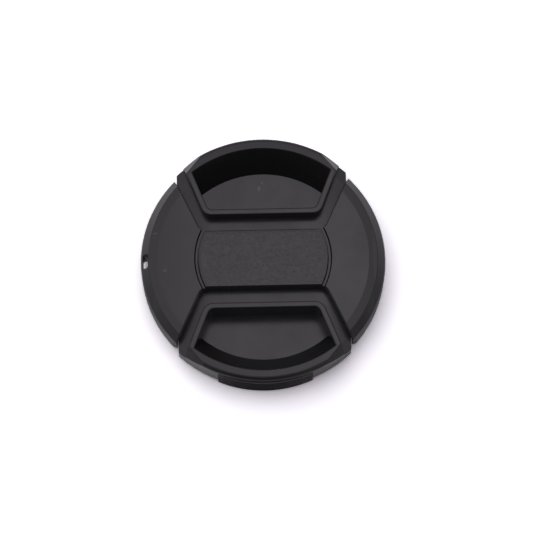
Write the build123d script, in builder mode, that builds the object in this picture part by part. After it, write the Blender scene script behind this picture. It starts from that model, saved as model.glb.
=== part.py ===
from build123d import *
import os
from math import asin, atan, cos, degrees, radians, sin, sqrt, tan

os.makedirs("parts", exist_ok=True)

# Centre-pinch lens cap for a 58 mm filter thread. Origin at the bottom centre: z = 0 is the end of the
# spigot, +Z is the front face, the two levers slide along Y, and the wings lie along X. Millimetres.

# Lens thread that the cap snaps into
thread_diameter = 58.0
thread_pitch = 0.75

# Front shell: outer form
face_height = 9.6
seat_height = 1.8
rim_overhang = 1.1
spigot_clearance = 0.8
spigot_wall = 1.4
bevel_width = 2.0
bevel_drop = 2.2
crease_width = 2.1
crease_drop = 0.2
wall_chamfer = 0.35
bevel_soft = 0.3
face_wall = 1.3

# Front shell: the two lever openings and the bridge between them
bridge_width = 14.4
opening_width = 30.4
opening_flare = 25.0
opening_corner = 2.6
skirt_wall = 1.2
edge_chamfer = 0.2

# Front shell: sunk border round the middle plate with a narrow groove outside it, and the lanyard slot
border_radius = 16.9
border_width = 1.0
border_depth = 0.3
groove_width = 0.3
groove_depth = 0.75
lanyard_length = 3.7
lanyard_width = 1.35
lanyard_margin = 0.5

# Levers: finger frame and pocket
lever_travel = 3.8
end_clearance = 0.2
lever_proud = 0.85
frame_side_gap = 0.9
frame_flare = 21.5
frame_corner = 2.8
frame_wall = 1.5
arc_wall = 2.55
arc_radius = 1.0
pocket_corner = 1.6
scoop_run = 4.5
scoop_wall = 1.2
hollow_spread = 60.0
floor_wall = 0.9
facet_azimuth = 39.7
facet_land = 0.75
rim_radius = 0.35

# Levers: flange, guides and stops
flange_depth = 3.5
flange_wall = 1.2
flange_inset = 7.95
wing_gap = 1.25
tongue_overlap = 1.55
tongue_width = 30.8
skirt_rise = 0.2
outer_wall = 1.6
running_clearance = 0.2
ear_reach = 1.2
ear_length = 2.0
ear_place = 10.6
stop_clearance = 0.1
rail_wall = 1.2
rail_length = 4.0

# Levers: ridged claw that snaps into the thread
claw_share = 0.4
claw_reach = 0.3
claw_depth = 2.1
claw_wall = 1.6
rest_gap = 0.3
thread_relief = 0.1
thread_height = 0.5
thread_flank = 30.0

# Back plate and the posts that carry it
plate_wall = 0.9
plate_clearance = 0.2
notch_clearance = 0.8
post_radius = 1.1
pin_radius = 0.8
pin_clearance = 0.05
head_radius = 1.35
head_height = 0.35
post_margin = 0.15
wing_post_y = 7.0
bridge_post_x = 7.5
ring_inset = 6.6
ring_width = 0.8
ring_depth = 0.25

# Springs between the levers
spring_inset = 3.3
spring_diameter = 2.7
spring_wire = 0.4
wire_sides = 8
spring_turns = 5
spring_clearance = 0.05
seat_place = 7.2
seat_wall = 2.0
seat_width = 4.0
peg_length = 1.5
peg_clearance = 0.2

# Places that follow from the sizes above
body_radius = thread_diameter / 2 + rim_overhang
spigot_radius = thread_diameter / 2 - spigot_clearance
bore_radius = spigot_radius - spigot_wall
bevel_radius = body_radius - bevel_width
bevel_top = face_height - crease_drop
wall_top = bevel_top - bevel_drop
ceiling = face_height - face_wall
frame_near = bridge_width / 2 + lever_travel + end_clearance
frame_half = opening_width / 2 - frame_side_gap
lever_radius = body_radius + lever_proud
pocket_radius = lever_radius - arc_wall
pocket_near = frame_near + frame_wall
side_slope = tan(radians(frame_flare))
pocket_half = frame_half + frame_wall * side_slope - frame_wall / cos(radians(frame_flare))
plate_bottom = rest_gap
plate_top = plate_bottom + plate_wall
lever_bottom = plate_top + running_clearance
pocket_floor = lever_bottom + floor_wall
pocket_depth = face_height - pocket_floor

# Outer corner of the pocket's mouth, where a slanted side meets the outer arc, and the facet beside it
side_start = pocket_half - side_slope * pocket_near
side_lead = side_start * side_slope
side_root = side_lead ** 2 + (1 + side_slope ** 2) * (pocket_radius ** 2 - side_start ** 2)
corner_y = (sqrt(side_root) - side_lead) / (1 + side_slope ** 2)
corner_x = side_start + side_slope * corner_y
facet_x = cos(radians(facet_azimuth))
facet_y = sin(radians(facet_azimuth))
facet_distance = corner_x * facet_x + corner_y * facet_y + facet_land
facet_lean = atan((lever_radius - facet_distance) / flange_depth)

# Flange, guides, claw, back plate and springs
flange_top = face_height - flange_depth
flange_bottom = flange_top - flange_wall
flange_width = thread_diameter - 2 * flange_inset
wall_radius = lever_radius - outer_wall
wall_bottom = seat_height + skirt_rise
skirt_bottom = flange_top + running_clearance
guide_half = flange_width / 2 + running_clearance
slideway_half = flange_width / 2 + wing_gap
rail_near = ear_place + ear_length + stop_clearance
claw_width = claw_share * thread_diameter
claw_radius = thread_diameter / 2 - thread_relief
claw_offset = lever_radius + claw_reach - claw_radius
claw_spread = 2 * degrees(asin(claw_width / 2 / claw_radius))
claw_top = face_height - claw_depth
ridge_count = int((claw_top - rest_gap) / thread_pitch)
plate_radius = bore_radius - plate_clearance
ring_radius = plate_radius - ring_inset
wing_post_x = sqrt((plate_radius - head_radius - post_margin) ** 2 - wing_post_y ** 2)
notch_radius = wall_radius - lever_travel - end_clearance
spring_height = (lever_bottom + flange_top) / 2
spring_place = flange_width / 2 - spring_inset
far = lever_radius + claw_reach + opening_corner


def wedge(half_width, near, flare):
    """Corner points of a shape that starts at near and widens outwards, past the edge of the cap."""
    spread = half_width + (far - near) * tan(radians(flare))
    return [(-half_width, near), (half_width, near), (spread, far), (-spread, far)]


def radial(azimuth, centre=0):
    """Upright plane through an axis at y = centre, with its x axis pointing out along the azimuth."""
    out = radians(azimuth)
    return Plane(origin=(0, centre, 0), x_dir=(cos(out), sin(out), 0), z_dir=(sin(out), -cos(out), 0))


# Front shell, a turned-over cup with a spigot under its two wings
with BuildPart() as front_shell:
    with BuildSketch(Plane.XZ) as shell_profile:
        with BuildLine():
            Polyline(
                (0, ceiling),
                (bore_radius, ceiling),
                (bore_radius, 0),
                (spigot_radius, 0),
                (spigot_radius, seat_height),
                (body_radius, seat_height),
                (body_radius, wall_top),
                (bevel_radius, bevel_top),
                (bevel_radius - crease_width, face_height),
                (0, face_height),
                close=True,
            )
        make_face()
        chamfer(shell_profile.vertices().sort_by_distance((body_radius, wall_top))[0], wall_chamfer)
        fillet(shell_profile.vertices().sort_by_distance((bevel_radius, bevel_top))[0], bevel_soft)
    revolve(axis=Axis.Z)

    # Openings for the two levers, with their upper edges broken
    with BuildSketch(Plane.XY) as openings:
        with BuildLine():
            Polyline(*wedge(opening_width / 2, bridge_width / 2, opening_flare), close=True)
        make_face()
        fillet(openings.vertices().group_by(Axis.Y)[0], opening_corner)
        mirror(about=Plane.XZ)
    extrude(amount=face_height, mode=Mode.SUBTRACT)
    cut_faces = front_shell.faces(Select.LAST)
    opening_walls = cut_faces.filter_by(GeomType.PLANE).filter_by(Axis.Z, reverse=True)
    chamfer(opening_walls.edges().group_by(Axis.Z)[-1], edge_chamfer)

    # Skirts that hang round the openings, down to the levers' flanges
    with BuildSketch(Plane.XY.offset(skirt_bottom)):
        with BuildLine():
            Polyline(*wedge(opening_width / 2, bridge_width / 2, opening_flare), close=True)
        make_face()
        offset(amount=skirt_wall, kind=Kind.INTERSECTION)
        mirror(about=Plane.XZ)
        add(openings.sketch_local, mode=Mode.SUBTRACT)
        Circle(bore_radius + skirt_wall / 2, mode=Mode.INTERSECT)
    extrude(amount=ceiling - skirt_bottom)

    # Slideways for the flanges, cut through the wall below the skirts
    with BuildSketch(Plane.XY):
        with Locations((0, (rail_near + far) / 2)):
            Rectangle(2 * slideway_half, far - rail_near)
        mirror(about=Plane.XZ)
    extrude(amount=skirt_bottom, mode=Mode.SUBTRACT)

    # Rails that guide the flanges and stop their ears
    with BuildSketch(Plane.XY.offset(lever_bottom)):
        with GridLocations(2 * guide_half + rail_wall, 2 * rail_near + rail_length, 2, 2):
            Rectangle(rail_wall, rail_length)
        Circle(bore_radius + spigot_wall / 2, mode=Mode.INTERSECT)
    extrude(amount=ceiling - lever_bottom)

    # Posts that carry the back plate, each with a pin and a flattened head
    with BuildSketch(Plane.XY.offset(plate_top)):
        with Locations(
            (-bridge_post_x, 0),
            (bridge_post_x, 0),
            (-wing_post_x, -wing_post_y),
            (wing_post_x, -wing_post_y),
            (-wing_post_x, wing_post_y),
            (wing_post_x, wing_post_y),
        ) as post_places:
            Circle(post_radius)
    extrude(amount=ceiling - plate_top)
    with BuildSketch(Plane.XY.offset(plate_bottom)):
        with Locations(*post_places.locations):
            Circle(pin_radius)
    extrude(amount=plate_wall)
    with BuildSketch(Plane.XY.offset(plate_bottom)):
        with Locations(*post_places.locations):
            Circle(head_radius)
    extrude(amount=head_height)

    # Sunk border round the middle plate, with a narrow groove along its outer edge
    for width, depth in ((border_width, border_depth), (groove_width, groove_depth)):
        with BuildSketch(Plane.XY.offset(face_height)):
            Circle(border_radius)
            Circle(border_radius - width, mode=Mode.SUBTRACT)
        extrude(amount=-depth, mode=Mode.SUBTRACT)

    # Lanyard slot, straight through the edge of the left wing
    with BuildSketch(Plane.XY):
        with Locations((-(body_radius - lanyard_margin - lanyard_width / 2), 0)):
            SlotOverall(lanyard_length, lanyard_width, rotation=90)
    extrude(amount=face_height, mode=Mode.SUBTRACT)
front_shell.part.label = "front_shell"
export_step(front_shell.part, "parts/front_shell.step")


# Finger pocket, the space inside a lever: upright sides, and a scoop that slopes up to the outer arc
with BuildPart() as pocket:
    with BuildSketch(Plane.XY.offset(pocket_floor)) as pocket_plan:
        with BuildLine():
            Polyline(*wedge(pocket_half, pocket_near, frame_flare), close=True)
        make_face()
        fillet(pocket_plan.vertices().group_by(Axis.Y)[0], pocket_corner)
    extrude(amount=pocket_depth)
    with BuildSketch(Plane.XZ):
        with BuildLine():
            Polyline(
                (0, pocket_floor),
                (pocket_radius - scoop_run, pocket_floor),
                (pocket_radius, face_height),
                (0, face_height),
                close=True,
            )
        make_face()
    revolve(axis=Axis.Z, mode=Mode.INTERSECT)


# Upper lever, a finger pocket in a sliding flange, with a claw at its outer edge
with BuildPart() as upper_lever:
    # Finger frame, solid at first
    with BuildSketch(Plane.XY.offset(lever_bottom)) as frame_plan:
        with BuildLine():
            Polyline(*wedge(frame_half, frame_near, frame_flare), close=True)
        make_face()
        fillet(frame_plan.vertices().group_by(Axis.Y)[0], frame_corner)
        Circle(lever_radius, mode=Mode.INTERSECT)
    extrude(amount=face_height - lever_bottom)
    fillet(upper_lever.faces().sort_by(Axis.Z)[-1].edges().sort_by(Axis.Y)[-1], arc_radius)

    # Sloped facets across the two outer corners of the frame
    for out_x in (-facet_x, facet_x):
        facet = Plane(
            origin=(facet_distance * out_x, facet_distance * facet_y, face_height),
            z_dir=(out_x * cos(facet_lean), facet_y * cos(facet_lean), sin(facet_lean)),
        )
        split(bisect_by=facet, keep=Keep.BOTTOM)

    # Flange round the frame, with a tongue that reaches in under the bridge
    with BuildSketch(Plane.XY.offset(flange_bottom)):
        with Locations((0, (seat_place + far) / 2)):
            Rectangle(flange_width, far - seat_place)
        Circle(lever_radius, mode=Mode.INTERSECT)
        tongue_near = bridge_width / 2 - tongue_overlap
        with Locations((0, (tongue_near + frame_near) / 2)):
            Rectangle(tongue_width, frame_near - tongue_near)
        with Locations((0, ear_place + ear_length / 2)):
            Rectangle(flange_width + 2 * ear_reach, ear_length)
    extrude(amount=flange_wall)

    # Outer wall under the flange's curved edge
    with BuildSketch(Plane.XY.offset(lever_bottom)):
        with Locations((0, far / 2)):
            Rectangle(flange_width, far)
        Circle(lever_radius, mode=Mode.INTERSECT)
        Circle(wall_radius, mode=Mode.SUBTRACT)
    extrude(amount=flange_bottom - lever_bottom)

    # Spring seats under the flange's arms, with pegs that enter the springs
    with BuildSketch(Plane.XY.offset(lever_bottom)):
        with Locations((0, seat_place + seat_wall / 2)):
            with GridLocations(2 * spring_place, 0, 2, 1):
                Rectangle(seat_width, seat_wall)
    extrude(amount=flange_bottom - lever_bottom)
    with BuildSketch(Plane.XZ.offset(-seat_place)):
        with Locations((-spring_place, spring_height), (spring_place, spring_height)):
            Circle((spring_diameter - spring_wire) / 2 - peg_clearance)
    extrude(amount=peg_length)

    # Finger pocket, and the hollow behind its scoop
    add(pocket.part, mode=Mode.SUBTRACT)
    slope = scoop_run / pocket_depth
    hollow_near = pocket_radius - scoop_run + scoop_wall
    with BuildSketch(radial(90 - hollow_spread / 2)):
        with BuildLine():
            Polyline(
                (hollow_near, lever_bottom),
                (wall_radius, lever_bottom),
                (wall_radius, lever_bottom + (wall_radius - hollow_near) / slope),
                close=True,
            )
        make_face()
    revolve(axis=Axis.Z, revolution_arc=hollow_spread, mode=Mode.SUBTRACT)

    # The outer wall stops clear of the lens ring, and only the claw reaches down past it
    with BuildSketch(Plane.XY.offset(lever_bottom)):
        Circle(far)
        Circle(wall_radius, mode=Mode.SUBTRACT)
    extrude(amount=wall_bottom - lever_bottom, mode=Mode.SUBTRACT)
    claw_plane = radial(90 - claw_spread / 2, claw_offset)
    claw_axis = Axis((0, claw_offset, 0), (0, 0, 1))
    with BuildSketch(claw_plane):
        with Locations((claw_radius, (rest_gap + claw_top) / 2)):
            Rectangle(claw_wall, claw_top - rest_gap, align=(Align.MAX, Align.CENTER))
    revolve(axis=claw_axis, revolution_arc=claw_spread)

    # Thread roots between the claw's ridges
    root_half = (thread_height + thread_relief) * tan(radians(thread_flank))
    with BuildSketch(claw_plane):
        with Locations((claw_radius, (rest_gap + claw_top) / 2)):
            with GridLocations(0, thread_pitch, 1, ridge_count):
                Polygon(
                    (-thread_height, 0),
                    (thread_relief, -root_half),
                    (thread_relief, root_half),
                    align=None,
                )
    revolve(axis=claw_axis, revolution_arc=claw_spread, mode=Mode.SUBTRACT)

    # Rounded rim round the mouth of the pocket
    rim_edges = upper_lever.faces().sort_by(Axis.Z)[-1].edges()
    fillet(rim_edges - rim_edges.sort_by(Axis.Y)[-1:], rim_radius)
upper_lever.part.label = "upper_lever"
export_step(upper_lever.part, "parts/upper_lever.step")


# Lower lever, the same moulding turned half round
with BuildPart() as lower_lever:
    add(upper_lever.part, rotation=(0, 0, 180))
lower_lever.part.label = "lower_lever"
export_step(lower_lever.part, "parts/lower_lever.step")


# Back plate, staked on the shell's posts and notched where the claws come in
with BuildPart() as back_plate:
    with BuildSketch(Plane.XY.offset(plate_bottom)):
        Circle(plate_radius)
        Rectangle(claw_width + 2 * notch_clearance, 2 * far, mode=Mode.SUBTRACT)
        Circle(notch_radius)
    extrude(amount=plate_wall)
    with BuildSketch(Plane.XY.offset(plate_bottom)):
        with Locations(*post_places.locations):
            Circle(pin_radius + pin_clearance)
    extrude(amount=plate_wall, mode=Mode.SUBTRACT)
    with BuildSketch(Plane.XY.offset(plate_bottom)):
        with Locations(*post_places.locations):
            Circle(head_radius + pin_clearance)
    extrude(amount=head_height, mode=Mode.SUBTRACT)
    with BuildSketch(Plane.XY.offset(plate_bottom)):
        Circle(ring_radius + ring_width / 2)
        Circle(ring_radius - ring_width / 2, mode=Mode.SUBTRACT)
    extrude(amount=ring_depth, mode=Mode.SUBTRACT)
back_plate.part.label = "back_plate"
export_step(back_plate.part, "parts/back_plate.step")


# Springs, one coil on each side, that push the levers apart
for name, side in (("left_spring", -1), ("right_spring", 1)):
    coil_length = 2 * (seat_place - spring_clearance) - spring_wire
    with BuildPart() as spring:
        with BuildLine() as coil:
            Helix(
                pitch=coil_length / spring_turns,
                height=coil_length,
                radius=spring_diameter / 2,
                center=(side * spring_place, -coil_length / 2, spring_height),
                direction=(0, 1, 0),
            )
        with BuildSketch(Plane(origin=coil.line @ 0, z_dir=coil.line % 0)):
            RegularPolygon(spring_wire / 2, wire_sides)
        sweep(is_frenet=True)
    spring.part.label = name
    export_step(spring.part, f"parts/{name}.step")
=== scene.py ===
import math

import bmesh
import bpy
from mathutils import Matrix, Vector


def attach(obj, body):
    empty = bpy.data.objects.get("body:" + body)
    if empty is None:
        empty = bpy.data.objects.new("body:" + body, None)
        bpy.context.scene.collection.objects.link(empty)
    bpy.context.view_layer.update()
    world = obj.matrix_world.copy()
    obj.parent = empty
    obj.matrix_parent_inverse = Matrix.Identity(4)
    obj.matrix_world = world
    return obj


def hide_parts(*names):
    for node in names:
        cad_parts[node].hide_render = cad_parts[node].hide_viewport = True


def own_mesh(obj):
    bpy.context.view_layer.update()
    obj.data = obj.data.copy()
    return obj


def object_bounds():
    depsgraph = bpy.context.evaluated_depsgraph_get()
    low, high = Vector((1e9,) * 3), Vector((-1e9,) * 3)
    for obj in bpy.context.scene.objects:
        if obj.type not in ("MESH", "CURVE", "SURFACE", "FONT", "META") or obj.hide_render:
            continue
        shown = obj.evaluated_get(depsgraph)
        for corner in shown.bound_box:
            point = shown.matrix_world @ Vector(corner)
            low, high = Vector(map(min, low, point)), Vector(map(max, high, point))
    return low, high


# A black centre-pinch lens cap lying face up on a white table. Metres, in the CAD part's frame:
# +Z out of the front face, the levers slide along Y, and the wings lie along X.

MM = 0.001

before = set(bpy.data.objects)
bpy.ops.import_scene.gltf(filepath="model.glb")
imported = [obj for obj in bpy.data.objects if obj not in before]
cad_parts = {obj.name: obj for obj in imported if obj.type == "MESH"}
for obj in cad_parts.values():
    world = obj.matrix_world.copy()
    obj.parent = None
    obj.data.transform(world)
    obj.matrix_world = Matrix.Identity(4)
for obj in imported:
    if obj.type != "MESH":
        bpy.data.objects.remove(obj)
cad_low, cad_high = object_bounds()

# Camera: a long lens above the south edge, turned a little round the cap, with its scale at the target
view_target = Vector((0.81, -0.92, 5.0)) * MM
view_elevation = 73.5
view_azimuth = -1.2
view_distance = 650.0 * MM
view_near, view_far = 10.0 * MM, 10000.0 * MM
pixels_per_mm = 4.055
image_width = 533

# Room: strength by the direction's y, dark on the camera's side and bright past the middle, and at both sides
room_steps = ((-0.75, 0.05), (-0.45, 0.25), (-0.16, 0.60), (0.12, 0.98), (0.42, 0.86), (0.85, 0.40))
side_strength = 0.50
west_gain = 0.06
side_middle = -0.10
side_start, side_full = 0.20, 0.80
room_tint = (1.0, 0.945, 1.03)

# Ceiling light: a soft-edged rectangle of directions, which the flat faces mirror
panel_x = (-0.07, 0.00, 0.12, 0.20)
panel_y = (0.02, 0.22, 0.33, 0.41)
panel_strength = 0.94

# Lamp: broad and soft, from behind the cap to the left
lamp_place = Vector((-270.0, 430.0, 780.0)) * MM
lamp_size = 1100.0 * MM
lamp_power = 3.4

# Table: white paper under the cap, overexposed for the camera by an added gain
table_size = 4000.0 * MM
paper_colour = 0.88
paper_gain = 0.84

# Table as the cap's faces mirror it: its shade by the distance from the cap's axis, near the foot and
# far off, by the place across, and by the place along in millimetres
mirrored_foot = (31.0 * MM, 42.0 * MM, 0.62, 1.25)
mirrored_far = (70.0 * MM, 130.0 * MM, 1.0, 0.40)
mirrored_across = (-60.0 * MM, 60.0 * MM, 1.07, 0.85)
mirrored_reach = (-40.0, 20.0)
mirrored_along = (
    (-33.0, 0.43), (-29.5, 1.30), (-27.0, 1.30), (-18.0, 0.86), (-13.0, 0.80), (-4.0, 0.86), (4.0, 1.0),
)

# Black mouldings: satin outside, matt on the back plate
shell_colour = (0.0115, 0.0112, 0.0116)
lever_colour = (0.0120, 0.0117, 0.0121)
plate_colour = (0.0130, 0.0126, 0.0130)
satin_roughness, matt_roughness = 0.23, 0.42
satin_grain, matt_grain = 0.004 * MM, 0.016 * MM
plastic_ior = 1.5
plain_specular = 0.5

# Noise: how many spots it has in a metre, its detail and roughness, and the middle stretch of its range
smudge_scale = 140.0
smudge_detail = 4.0
grain_scale = 5200.0
leather_scale = 1400.0
film_scale = 900.0
noise_detail = 3.0
noise_roughness = 0.6
noise_low, noise_high = 0.3, 0.7

# Rubbed spots: how much smoother and rougher they are than the rest
rubbed_smoother, rubbed_rougher = 0.03, 0.04

# Dust: cells in a metre, a speck's reach in its cell, and the share of cells without one
dust_scale = 260.0
dust_reach = 0.028
dust_free = 0.86
dust_colour = (0.05, 0.05, 0.048)

# Textured patch on the middle plate
patch_radius = 15.5 * MM
patch_edge = 6.7 * MM
patch_soft = 0.4 * MM
patch_floor = 9.2 * MM
patch_depth = 0.10 * MM
patch_colour = (0.026, 0.0253, 0.026)
patch_low, patch_high = 0.35, 0.65

# Painted shade in the groove round the middle plate, and at the foot of the plate's edge, less of it to the
# north: there the plastic loses its specular and turns matt, so it renders dark
groove_radius = 16.75 * MM
groove_reach = 0.30 * MM
groove_floor, groove_top = 8.6 * MM, 9.25 * MM
ledge_radius = 15.95 * MM
ledge_reach = 0.15 * MM
ledge_floor, ledge_top = 9.2 * MM, 9.7 * MM
ledge_south, ledge_north = -5.0 * MM, 3.0 * MM
ledge_most, ledge_least = 1.0, 0.20
shade_specular = 0.03
shade_roughness = 0.9

# Crown of the wings: they fall a little towards the edge
crown_start, crown_end = 15.0 * MM, 27.0 * MM
crown_drop = 0.26 * MM

# Lever rims: they fall a little outwards, beyond the pocket
rim_start = 28.4 * MM
rim_slope = 0.07

# Lever flanges: beside the wings they fall outwards
flange_start, flange_end = 12.0 * MM, 22.0 * MM
flange_drop = 0.75 * MM
flange_low, flange_high = 5.9 * MM, 6.3 * MM

# Pale scuffs and specks, and one painted highlight on a lever's flange corner: place and reach in
# millimetres, and strength, full in the core of the reach
mark_colour = (0.055, 0.053, 0.055)
mark_core = 0.35
shell_marks = (
    ((-26.4, 6.8, 9.5), (0.95, 0.20, 0.6), 0.8),
    ((-26.4, 5.7, 9.5), (0.80, 0.16, 0.6), 0.4),
    ((-24.1, -2.8, 9.6), (0.70, 0.65, 0.6), 0.5),
    ((-19.7, 16.9, 9.6), (0.90, 0.25, 0.6), 0.7),
    ((13.8, 7.1, 9.6), (0.60, 0.20, 0.6), 0.5),
)
lever_marks_and_glint = (
    ((0.1, 21.7, 2.3), (0.50, 0.50, 0.6), 0.6),
    ((-0.6, 20.2, 2.3), (0.45, 0.80, 0.6), 1.0),
    ((-8.5, -7.1, 6.1), (0.35, 0.25, 0.5), 0.9),
    # Painted highlight: a glint on the corner edge of the lower lever's flange
    ((-14.5, -7.9, 6.1), (0.80, 0.30, 0.5), 0.5),
    ((3.2, -28.3, 9.6), (0.30, 0.35, 0.5), 0.6),
)

# Wing ends: the feet under the wings' tips, which close the slideways beside the levers
end_inner, end_outer = 21.3 * MM, 22.4 * MM
end_start, end_face = 17.5 * MM, 20.5 * MM
end_low, end_high = 2.4 * MM, 7.2 * MM
end_inset = 0.05 * MM
end_steps = 6
end_soft = 0.12 * MM
end_segments = 2
sharp_angle = 30.0
round_profile = 0.5

# Springs: each coil cut in two halves, one on each lever's side
weld_reach = 0.001 * MM
wire_dark = (0.46, 0.46, 0.47)
wire_light = (0.62, 0.62, 0.63)
wire_smooth, wire_rough = 0.26, 0.42


def material(name):
    """An empty node material, with its tree and its output node."""
    made = bpy.data.materials.new(name)
    made.use_nodes = True
    tree = made.node_tree
    tree.nodes.clear()
    out = tree.nodes.new("ShaderNodeOutputMaterial")
    return made, tree, out


def node(tree, kind, inputs=None, **settings):
    """A new node with its settings, and its inputs either as plain values or as links."""
    made = tree.nodes.new("ShaderNode" + kind)
    for name, value in settings.items():
        setattr(made, name, value)
    for name, value in (inputs or {}).items():
        socket = made.inputs[name]
        if isinstance(value, bpy.types.NodeSocket):
            tree.links.new(value, socket)
        else:
            socket.default_value = value
    return made


def rgba(colour):
    return (*colour, 1)


def grey(level):
    return (level, level, level, 1)


def maths(tree, operation, first, second=0.0):
    return node(tree, "Math", {0: first, 1: second}, operation=operation).outputs[0]


def product(tree, first, *others):
    """All the values multiplied."""
    total = first
    for value in others:
        total = maths(tree, "MULTIPLY", total, value)
    return total


def within(tree, value, middle, reach):
    """1 where a value is within reach of the middle, and 0 elsewhere."""
    return node(tree, "Math", {0: value, 1: middle, 2: reach}, operation="COMPARE").outputs[0]


def between(tree, value, low, high, first=0.0, last=1.0, smooth=False):
    """Value mapped from low-high to first-last, and held there outside that range."""
    kind = "SMOOTHSTEP" if smooth else "LINEAR"
    inputs = {"Value": value, "From Min": low, "From Max": high, "To Min": first, "To Max": last}
    return node(tree, "MapRange", inputs, interpolation_type=kind).outputs["Result"]


def ramp(tree, value, low, high, steps):
    """Value mapped through steps, each a place from low to high and the strength there."""
    made = node(tree, "ValToRGB", {"Fac": between(tree, value, low, high)})
    stops = made.color_ramp.elements
    while len(stops) < len(steps):
        stops.new(1.0)
    for stop, (place, strength) in zip(stops, steps):
        stop.position = (place - low) / (high - low)
        stop.color = grey(strength)
    return made.outputs["Color"]


def mixed(tree, share, first, second):
    """The first colour where the share is 0, and the second where it is 1."""
    return node(tree, "MixRGB", {"Fac": share, "Color1": first, "Color2": second}).outputs["Color"]


def noise(tree, place, scale, detail=noise_detail):
    inputs = {"Vector": place, "Scale": scale, "Detail": detail, "Roughness": noise_roughness}
    return node(tree, "TexNoise", inputs).outputs["Fac"]


def object_place(tree):
    """The point on the piece itself, so that marks and grain stay put when a lever slides."""
    return node(tree, "TexCoord").outputs["Object"]


def axes_of(tree, vector):
    return node(tree, "SeparateXYZ", {"Vector": vector}).outputs


def vector_maths(tree, operation, first, second):
    return node(tree, "VectorMath", {0: first, 1: second}, operation=operation).outputs["Vector"]


def length_of(tree, vector):
    return node(tree, "VectorMath", {0: vector}, operation="LENGTH").outputs["Value"]


def face_radius(tree, axes):
    """Distance from the cap's axis."""
    flat = node(tree, "CombineXYZ", {"X": axes["X"], "Y": axes["Y"], "Z": 0.0}).outputs[0]
    return length_of(tree, flat)


def ring_mask(tree, axes, radius, reach, low, high):
    """1 on a ring round the cap's axis, between two heights, and 0 elsewhere."""
    ring = within(tree, face_radius(tree, axes), radius, reach)
    level = within(tree, axes["Z"], (low + high) / 2, (high - low) / 2)
    return product(tree, ring, level)


def painted_shade_mask(tree, place):
    """How much painted shade lies in the groove and at the foot of the middle plate's edge."""
    axes = axes_of(tree, place)
    groove = ring_mask(tree, axes, groove_radius, groove_reach, groove_floor, groove_top)
    ledge = ring_mask(tree, axes, ledge_radius, ledge_reach, ledge_floor, ledge_top)
    share = between(tree, axes["Y"], ledge_south, ledge_north, ledge_most, ledge_least)
    return maths(tree, "MAXIMUM", groove, product(tree, ledge, share))


def dust_mask(tree, place):
    """1 on a speck of dust, which few cells have, and 0 elsewhere."""
    cells = node(tree, "TexVoronoi", {"Vector": place, "Scale": dust_scale}, feature="F1").outputs
    near = maths(tree, "LESS_THAN", cells["Distance"], dust_reach)
    chance = node(tree, "SeparateColor", {"Color": cells["Color"]}).outputs["Red"]
    return product(tree, near, maths(tree, "GREATER_THAN", chance, dust_free))


def mark_mask(tree, place, marks):
    """How far each point is covered by a pale scuff, a speck or a painted highlight."""
    mask = 0.0
    for centre, reach, strength in marks:
        away = vector_maths(tree, "SUBTRACT", place, Vector(centre) * MM)
        scaled = vector_maths(tree, "DIVIDE", away, Vector(reach) * MM)
        cover = between(tree, length_of(tree, scaled), mark_core, 1.0, strength, 0.0, smooth=True)
        mask = maths(tree, "MAXIMUM", mask, cover)
    return mask


def patch_mask(tree, place):
    """1 on the textured patch of the middle plate, and 0 elsewhere."""
    axes = axes_of(tree, place)
    radius = face_radius(tree, axes)
    inside = between(tree, radius, patch_radius - patch_soft, patch_radius + patch_soft, 1.0, 0.0)
    away = maths(tree, "ABSOLUTE", axes["Y"])
    along = between(tree, away, patch_edge - patch_soft, patch_edge + patch_soft, 1.0, 0.0)
    top = maths(tree, "GREATER_THAN", axes["Z"], patch_floor)
    return product(tree, inside, along, top)


def wing_crown(tree, place):
    """Height of the wings' faces, which fall a little towards the edge."""
    across = maths(tree, "ABSOLUTE", axes_of(tree, place)["X"])
    share = between(tree, across, crown_start, crown_end)
    return product(tree, share, share, -crown_drop)


def rim_fall(tree, place):
    """Height of the lever's rim, which falls outwards."""
    radius = face_radius(tree, axes_of(tree, place))
    beyond = maths(tree, "MAXIMUM", maths(tree, "SUBTRACT", radius, rim_start), 0.0)
    return product(tree, beyond, -rim_slope)


def flange_fall(tree, place):
    """Height of the lever's flange, which falls outwards beside the wings."""
    axes = axes_of(tree, place)
    share = between(tree, maths(tree, "ABSOLUTE", axes["X"]), flange_start, flange_end)
    above = maths(tree, "GREATER_THAN", axes["Z"], flange_low)
    below = maths(tree, "LESS_THAN", axes["Z"], flange_high)
    return product(tree, share, share, -flange_drop, product(tree, above, below))


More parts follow.
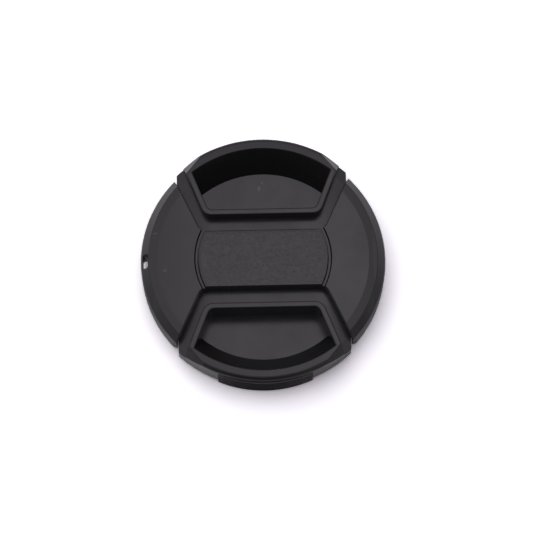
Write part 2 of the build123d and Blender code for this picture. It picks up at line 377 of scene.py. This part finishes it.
def moulded_plastic(name, colour, roughness, grain, marks=(), shell=False, lever=False):
    """Black moulded plastic: a fine mould grain, rubbed spots, pale scuffs and a little dust, a painted
    highlight where the marks hold one, and on the shell painted shade in the groove and at the plate's foot.
    """
    made, tree, out = material(name)
    place = object_place(tree)

    smudge = noise(tree, place, smudge_scale, smudge_detail)
    smooth, rough = roughness - rubbed_smoother, roughness + rubbed_rougher
    gloss = between(tree, smudge, noise_low, noise_high, smooth, rough)
    height = product(tree, noise(tree, place, grain_scale), grain)
    tint = mixed(tree, dust_mask(tree, place), rgba(colour), rgba(dust_colour))
    if marks:
        tint = mixed(tree, mark_mask(tree, place, marks), tint, rgba(mark_colour))

    shine = plain_specular
    if shell:
        patch = patch_mask(tree, place)
        leather = noise(tree, place, leather_scale)
        pits = product(tree, leather, patch, patch_depth)
        height = maths(tree, "ADD", maths(tree, "ADD", height, pits), wing_crown(tree, place))
        raised = product(tree, patch, between(tree, leather, patch_low, patch_high))
        tint = mixed(tree, raised, tint, rgba(patch_colour))
        # Painted shade: the groove and the foot of the plate's edge get almost no specular and a matt finish,
        # so they render dark
        plate_edge_shade = painted_shade_mask(tree, place)
        shine = between(tree, plate_edge_shade, 0.0, 1.0, plain_specular, shade_specular)
        gloss = between(tree, plate_edge_shade, 0.0, 1.0, gloss, shade_roughness)
    if lever:
        falls = maths(tree, "ADD", rim_fall(tree, place), flange_fall(tree, place))
        height = maths(tree, "ADD", height, falls)

    bump = node(tree, "Bump", {"Strength": 1.0, "Distance": 1.0, "Height": height})
    shader = node(tree, "BsdfPrincipled", {
        "Base Color": tint, "Roughness": gloss, "IOR": plastic_ior, "Specular IOR Level": shine,
        "Normal": bump.outputs["Normal"]})
    tree.links.new(shader.outputs["BSDF"], out.inputs["Surface"])
    return made


def spring_wire():
    """Drawn steel wire under an uneven, dull film."""
    made, tree, out = material("spring_steel")
    film = noise(tree, object_place(tree), film_scale)
    gloss = between(tree, film, noise_low, noise_high, wire_smooth, wire_rough)
    tint = node(tree, "ValToRGB", {"Fac": film})
    tint.color_ramp.elements[0].color = rgba(wire_dark)
    tint.color_ramp.elements[1].color = rgba(wire_light)
    shader = node(tree, "BsdfPrincipled", {
        "Base Color": tint.outputs["Color"], "Metallic": 1.0, "Roughness": gloss})
    tree.links.new(shader.outputs["BSDF"], out.inputs["Surface"])
    return made


def dress(name, finish):
    """Gives a CAD node its material."""
    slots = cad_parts[name].data.materials
    slots.clear()
    slots.append(finish)


def in_scene(name, data):
    """A new object in the scene from its mesh, light or camera data."""
    made = bpy.data.objects.new(name, data)
    bpy.context.scene.collection.objects.link(made)
    return made


def wing_end_plan():
    """Outline of the foot under the upper right tip, with the roundness of the body's edge outside."""
    edge = cad_high[0] - end_inset
    corner = math.sqrt(edge ** 2 - end_face ** 2)
    plan = [(end_inner, end_face), (end_inner, end_start), (end_outer, end_start)]
    for step in range(end_steps + 1):
        x = end_outer + (corner - end_outer) * step / end_steps
        plan.append((x, math.sqrt(edge ** 2 - x ** 2)))
    return plan


def wing_end(name, side_x, side_y, finish):
    """The foot under a wing's tip, clear of the lever that slides beside it."""
    plan = wing_end_plan()
    work = bmesh.new()
    below, above = [
        [work.verts.new((side_x * x, side_y * y, z)) for x, y in plan] for z in (end_low, end_high)]
    work.faces.new(below)
    work.faces.new(above)
    for i in range(len(plan)):
        work.faces.new((below[i - 1], below[i], above[i], above[i - 1]))
    bmesh.ops.recalc_face_normals(work, faces=work.faces)
    sharp = [item for item in work.edges if item.calc_face_angle() > math.radians(sharp_angle)]
    bmesh.ops.bevel(
        work, geom=sharp, offset=end_soft, segments=end_segments, profile=round_profile, affect="EDGES")
    mesh = bpy.data.meshes.new(name)
    work.to_mesh(mesh)
    work.free()
    mesh.materials.append(finish)
    end = in_scene(name, mesh)
    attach(end, "shell")


def half_spring(name, spring, side_y, finish):
    """The half of a coil on one lever's side, cut at the middle with its cut ends closed."""
    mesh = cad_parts[spring].data.copy()
    mesh.name = name
    work = bmesh.new()
    work.from_mesh(mesh)
    bmesh.ops.remove_doubles(work, verts=work.verts, dist=weld_reach)
    everything = list(work.verts) + list(work.edges) + list(work.faces)
    cut = bmesh.ops.bisect_plane(
        work, geom=everything, plane_co=(0, 0, 0), plane_no=(0, -side_y, 0), clear_outer=True)
    rim = [item for item in cut["geom_cut"] if isinstance(item, bmesh.types.BMEdge)]
    bmesh.ops.holes_fill(work, edges=rim)
    bmesh.ops.recalc_face_normals(work, faces=work.faces)
    work.to_mesh(mesh)
    work.free()
    mesh.materials.clear()
    mesh.materials.append(finish)
    mesh.shade_smooth()
    half = in_scene(name, mesh)
    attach(half, "shell")
    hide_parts(spring)
    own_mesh(half)


def mirrored_shade(tree):
    """How bright the table is where the cap's faces mirror it."""
    place = object_place(tree)
    radius = length_of(tree, place)
    axes = axes_of(tree, place)
    foot = between(tree, radius, *mirrored_foot)
    far = between(tree, radius, *mirrored_far)
    across = between(tree, axes["X"], *mirrored_across)
    along = ramp(tree, maths(tree, "DIVIDE", axes["Y"], MM), *mirrored_reach, mirrored_along)
    return product(tree, foot, far, across, along)


def diffuse(tree, colour):
    return node(tree, "BsdfDiffuse", {"Color": colour}).outputs["BSDF"]


def stage_floor():
    """White paper on a table. The camera sees it overexposed, with the cap's shadow."""
    bpy.ops.mesh.primitive_plane_add(size=table_size, location=(0, 0, 0))
    floor = bpy.context.object
    floor.name = "table"
    made, tree, out = material("white_table")
    mirrored = diffuse(tree, mirrored_shade(tree))
    plain = diffuse(tree, grey(paper_colour))
    extra = diffuse(tree, grey(paper_gain))
    white = node(tree, "AddShader", {0: plain, 1: extra}).outputs["Shader"]
    ray = node(tree, "LightPath").outputs
    inner = node(tree, "MixShader", {0: ray["Is Glossy Ray"], 1: plain, 2: mirrored}).outputs["Shader"]
    seen = node(tree, "MixShader", {0: ray["Is Camera Ray"], 1: inner, 2: white}).outputs["Shader"]
    tree.links.new(seen, out.inputs["Surface"])
    floor.data.materials.append(made)


def ceiling_light(tree, axes):
    """Strength of the ceiling light in each direction."""
    light = panel_strength
    for axis, (start, full, still, end) in (("X", panel_x), ("Y", panel_y)):
        rise = between(tree, axes[axis], start, full, smooth=True)
        fall = between(tree, axes[axis], still, end, 1.0, 0.0, smooth=True)
        light = product(tree, light, rise, fall)
    return light


def room():
    """The light all round, as the cap's faces mirror it."""
    world = bpy.data.worlds.new("room")
    bpy.context.scene.world = world
    world.use_nodes = True
    tree = world.node_tree
    axes = axes_of(tree, node(tree, "TexCoord").outputs["Generated"])
    depth = ramp(tree, axes["Y"], -1.0, 1.0, room_steps)
    off = maths(tree, "ABSOLUTE", maths(tree, "SUBTRACT", axes["X"], side_middle))
    aside = between(tree, off, side_start, side_full)
    sides = maths(tree, "SUBTRACT", side_strength, product(tree, axes["X"], west_gain))
    around = node(tree, "Mix", {"Factor": aside, "A": depth, "B": sides}, data_type="FLOAT").outputs["Result"]
    sky = tree.nodes["Background"]
    sky.inputs["Color"].default_value = rgba(room_tint)
    tree.links.new(maths(tree, "ADD", around, ceiling_light(tree, axes)), sky.inputs["Strength"])


def soft_lamp():
    """A broad lamp that lights the cap and the table, and isn't mirrored."""
    lamp_data = bpy.data.lights.new("lamp", "AREA")
    lamp_data.energy = lamp_power
    lamp_data.size = lamp_size
    lamp = in_scene("lamp", lamp_data)
    lamp.location = lamp_place
    lamp.rotation_euler = (-lamp_place).to_track_quat("-Z", "Y").to_euler()
    lamp.visible_glossy = False


def camera():
    """The scene's camera, aimed at the target from its azimuth and elevation."""
    camera_data = bpy.data.cameras.new("camera")
    made = in_scene("camera", camera_data)
    turn = math.radians(view_azimuth)
    rise = math.radians(view_elevation)
    back = Vector((math.sin(turn) * math.cos(rise), -math.cos(turn) * math.cos(rise), math.sin(rise)))
    made.location = view_target + back * view_distance
    made.rotation_euler = (-back).to_track_quat("-Z", "Y").to_euler()
    camera_data.lens = pixels_per_mm / MM * view_distance * camera_data.sensor_width / image_width
    camera_data.clip_start = view_near
    camera_data.clip_end = view_far
    bpy.context.scene.camera = made


# Finishes of the solids
shell_plastic = moulded_plastic(
    "shell_plastic", shell_colour, satin_roughness, satin_grain, shell_marks, shell=True)
lever_plastic = moulded_plastic(
    "lever_plastic", lever_colour, satin_roughness, satin_grain, lever_marks_and_glint, lever=True)
plate_plastic = moulded_plastic("plate_plastic", plate_colour, matt_roughness, matt_grain)
dress("front_shell", shell_plastic)
dress("upper_lever", lever_plastic)
dress("lower_lever", lever_plastic)
dress("back_plate", plate_plastic)

# Pieces that the solids lack, and the springs cut in halves
for side_y, lever in ((1, "upper"), (-1, "lower")):
    wing_end("left_wing_end_" + lever, -1, side_y, shell_plastic)
    wing_end("right_wing_end_" + lever, 1, side_y, shell_plastic)

steel = spring_wire()
for spring, side_x in (("left_spring", -1), ("right_spring", 1)):
    half_spring(spring + "_upper", spring, 1, steel)
    half_spring(spring + "_lower", spring, -1, steel)

# Table, light and camera
stage_floor()
room()
soft_lamp()
camera()
bpy.context.scene.view_settings.view_transform = "Standard"
